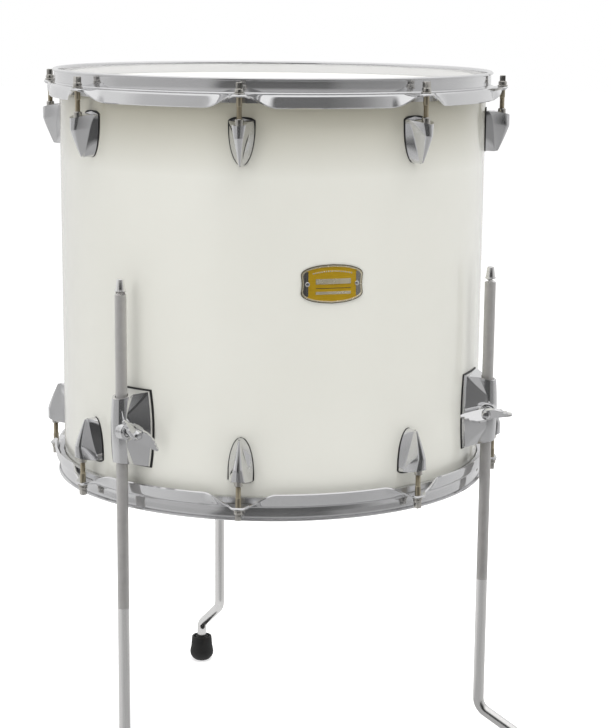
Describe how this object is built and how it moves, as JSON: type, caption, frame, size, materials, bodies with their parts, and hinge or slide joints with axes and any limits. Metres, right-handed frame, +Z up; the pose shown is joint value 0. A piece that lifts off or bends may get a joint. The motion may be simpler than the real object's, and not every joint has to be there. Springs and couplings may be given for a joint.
{
  "type": "floor tom drum",
  "caption": "Floor tom: glossy white cylindrical shell with two heads, chrome triple-flanged hoops, U-shaped lugs and bent steel legs with rubber feet.",
  "frame": {"origin": "on the floor under the middle of the drum's footprint; the drum's axis stands 53 mm in front of it at y = -0.0558", "axes": "+Z up along the drum's axis; the badge faces -Y and the rear leg stands towards +Y; +X is to the right seen from the front"},
  "size_m": [0.516, 0.5347, 0.7],
  "materials": {
    "lacquer_white": "high gloss white lacquer over wood plies",
    "coated_film": "sprayed white texture on clear film",
    "clear_film": "smooth translucent film",
    "flesh_hoop_aluminium": "plain mill finish",
    "hoop_chrome": "polished chrome plate on pressed steel",
    "casting_chrome": "polished chrome plate on die castings",
    "rod_steel": "plated steel with a warm tint on the threads",
    "leg_steel": "plated steel, knurled where the bracket grips",
    "badge_metal": "satin stamped plate with a bright raised border",
    "gasket_rubber": "matte black",
    "foot_rubber": "matte black moulded rubber",
    "bush_nylon": "matte black nylon"
  },
  "bodies": {
    "drum": {"shell": "lacquer_white", "batter_head": "coated_film", "batter_flesh_hoop": "flesh_hoop_aluminium", "resonant_head": "clear_film", "resonant_flesh_hoop": "flesh_hoop_aluminium", "top_hoop": "hoop_chrome", "bottom_hoop": "hoop_chrome", "badge": "badge_metal", "air_vent_eyelet": "badge_metal", "top_lug_front_left": "casting_chrome", "top_lug_front_right": "casting_chrome", "top_lug_right_front": "casting_chrome", "top_lug_right_rear": "casting_chrome", "top_lug_rear_right": "casting_chrome", "top_lug_rear_left": "casting_chrome", "top_lug_left_rear": "casting_chrome", "top_lug_left_front": "casting_chrome", "bottom_lug_front_left": "casting_chrome", "bottom_lug_front_right": "casting_chrome", "bottom_lug_right_front": "casting_chrome", "bottom_lug_right_rear": "casting_chrome", "bottom_lug_rear_right": "casting_chrome", "bottom_lug_rear_left": "casting_chrome", "bottom_lug_left_rear": "casting_chrome", "bottom_lug_left_front": "casting_chrome", "left_leg_bracket": "casting_chrome", "left_bracket_gasket": "gasket_rubber", "right_leg_bracket": "casting_chrome", "right_bracket_gasket": "gasket_rubber", "rear_leg_bracket": "casting_chrome", "rear_bracket_gasket": "gasket_rubber"},
    "top_rod_front_left": {"top_rod_front_left": "rod_steel"},
    "top_rod_front_right": {"top_rod_front_right": "rod_steel"},
    "top_rod_right_front": {"top_rod_right_front": "rod_steel"},
    "top_rod_right_rear": {"top_rod_right_rear": "rod_steel"},
    "top_rod_rear_right": {"top_rod_rear_right": "rod_steel"},
    "top_rod_rear_left": {"top_rod_rear_left": "rod_steel"},
    "top_rod_left_rear": {"top_rod_left_rear": "rod_steel"},
    "top_rod_left_front": {"top_rod_left_front": "rod_steel"},
    "bottom_rod_front_left": {"bottom_rod_front_left": "rod_steel"},
    "bottom_rod_front_right": {"bottom_rod_front_right": "rod_steel"},
    "bottom_rod_right_front": {"bottom_rod_right_front": "rod_steel"},
    "bottom_rod_right_rear": {"bottom_rod_right_rear": "rod_steel"},
    "bottom_rod_rear_right": {"bottom_rod_rear_right": "rod_steel"},
    "bottom_rod_rear_left": {"bottom_rod_rear_left": "rod_steel"},
    "bottom_rod_left_rear": {"bottom_rod_left_rear": "rod_steel"},
    "bottom_rod_left_front": {"bottom_rod_left_front": "rod_steel"},
    "left_bush": {"left_leg_bush": "bush_nylon"},
    "left_leg": {"left_leg": "leg_steel", "left_rubber_foot": "foot_rubber"},
    "left_wing_bolt": {"left_wing_bolt": "casting_chrome"},
    "right_bush": {"right_leg_bush": "bush_nylon"},
    "right_leg": {"right_leg": "leg_steel", "right_rubber_foot": "foot_rubber"},
    "right_wing_bolt": {"right_wing_bolt": "casting_chrome"},
    "rear_bush": {"rear_leg_bush": "bush_nylon"},
    "rear_leg": {"rear_leg": "leg_steel", "rear_rubber_foot": "foot_rubber"},
    "rear_wing_bolt": {"rear_wing_bolt": "casting_chrome"}
  },
  "joints": [
    {"name": "top_rod_front_left_turn", "type": "hinge", "parent": "drum", "child": "top_rod_front_left", "pos_m": [-0.08289, -0.25596, 0.677], "axis": [0, 0, 1], "continuous": true},
    {"name": "top_rod_front_right_turn", "type": "hinge", "parent": "drum", "child": "top_rod_front_right", "pos_m": [0.08289, -0.25596, 0.677], "axis": [0, 0, 1], "continuous": true},
    {"name": "top_rod_right_front_turn", "type": "hinge", "parent": "drum", "child": "top_rod_right_front", "pos_m": [0.20011, -0.13874, 0.677], "axis": [0, 0, 1], "continuous": true},
    {"name": "top_rod_right_rear_turn", "type": "hinge", "parent": "drum", "child": "top_rod_right_rear", "pos_m": [0.20011, 0.02704, 0.677], "axis": [0, 0, 1], "continuous": true},
    {"name": "top_rod_rear_right_turn", "type": "hinge", "parent": "drum", "child": "top_rod_rear_right", "pos_m": [0.08289, 0.14426, 0.677], "axis": [0, 0, 1], "continuous": true},
    {"name": "top_rod_rear_left_turn", "type": "hinge", "parent": "drum", "child": "top_rod_rear_left", "pos_m": [-0.08289, 0.14426, 0.677], "axis": [0, 0, 1], "continuous": true},
    {"name": "top_rod_left_rear_turn", "type": "hinge", "parent": "drum", "child": "top_rod_left_rear", "pos_m": [-0.20011, 0.02704, 0.677], "axis": [0, 0, 1], "continuous": true},
    {"name": "top_rod_left_front_turn", "type": "hinge", "parent": "drum", "child": "top_rod_left_front", "pos_m": [-0.20011, -0.13874, 0.677], "axis": [0, 0, 1], "continuous": true},
    {"name": "bottom_rod_front_left_turn", "type": "hinge", "parent": "drum", "child": "bottom_rod_front_left", "pos_m": [-0.08289, -0.25596, 0.337], "axis": [0, 0, -1], "continuous": true},
    {"name": "bottom_rod_front_right_turn", "type": "hinge", "parent": "drum", "child": "bottom_rod_front_right", "pos_m": [0.08289, -0.25596, 0.337], "axis": [0, 0, -1], "continuous": true},
    {"name": "bottom_rod_right_front_turn", "type": "hinge", "parent": "drum", "child": "bottom_rod_right_front", "pos_m": [0.20011, -0.13874, 0.337], "axis": [0, 0, -1], "continuous": true},
    {"name": "bottom_rod_right_rear_turn", "type": "hinge", "parent": "drum", "child": "bottom_rod_right_rear", "pos_m": [0.20011, 0.02704, 0.337], "axis": [0, 0, -1], "continuous": true},
    {"name": "bottom_rod_rear_right_turn", "type": "hinge", "parent": "drum", "child": "bottom_rod_rear_right", "pos_m": [0.08289, 0.14426, 0.337], "axis": [0, 0, -1], "continuous": true},
    {"name": "bottom_rod_rear_left_turn", "type": "hinge", "parent": "drum", "child": "bottom_rod_rear_left", "pos_m": [-0.08289, 0.14426, 0.337], "axis": [0, 0, -1], "continuous": true},
    {"name": "bottom_rod_left_rear_turn", "type": "hinge", "parent": "drum", "child": "bottom_rod_left_rear", "pos_m": [-0.20011, 0.02704, 0.337], "axis": [0, 0, -1], "continuous": true},
    {"name": "bottom_rod_left_front_turn", "type": "hinge", "parent": "drum", "child": "bottom_rod_left_front", "pos_m": [-0.20011, -0.13874, 0.337], "axis": [0, 0, -1], "continuous": true},
    {"name": "left_wing_bolt_turn", "type": "hinge", "parent": "drum", "child": "left_wing_bolt", "pos_m": [-0.17304, -0.19008, 0.389], "axis": [0.3875, -0.9219, 0], "continuous": true},
    {"name": "left_leg_swivel", "type": "hinge", "parent": "drum", "child": "left_bush", "pos_m": [-0.17304, -0.19008, 0.389], "axis": [0, 0, 1], "continuous": true},
    {"name": "left_leg_height", "type": "slide", "parent": "left_bush", "child": "left_leg", "axis": [0, 0, 1], "range_m": [-0.09, 0.15]},
    {"name": "right_wing_bolt_turn", "type": "hinge", "parent": "drum", "child": "right_wing_bolt", "pos_m": [0.17304, -0.19008, 0.389], "axis": [-0.3875, -0.9219, 0], "continuous": true},
    {"name": "right_leg_swivel", "type": "hinge", "parent": "drum", "child": "right_bush", "pos_m": [0.17304, -0.19008, 0.389], "axis": [0, 0, 1], "continuous": true},
    {"name": "right_leg_height", "type": "slide", "parent": "right_bush", "child": "right_leg", "axis": [0, 0, 1], "range_m": [-0.09, 0.15]},
    {"name": "rear_wing_bolt_turn", "type": "hinge", "parent": "drum", "child": "rear_wing_bolt", "pos_m": [0, 0.16315, 0.389], "axis": [-0.9659, 0.2588, 0], "continuous": true},
    {"name": "rear_leg_swivel", "type": "hinge", "parent": "drum", "child": "rear_bush", "pos_m": [0, 0.16315, 0.389], "axis": [0, 0, 1], "continuous": true},
    {"name": "rear_leg_height", "type": "slide", "parent": "rear_bush", "child": "rear_leg", "axis": [0, 0, 1], "range_m": [-0.09, 0.15]}
  ]
}
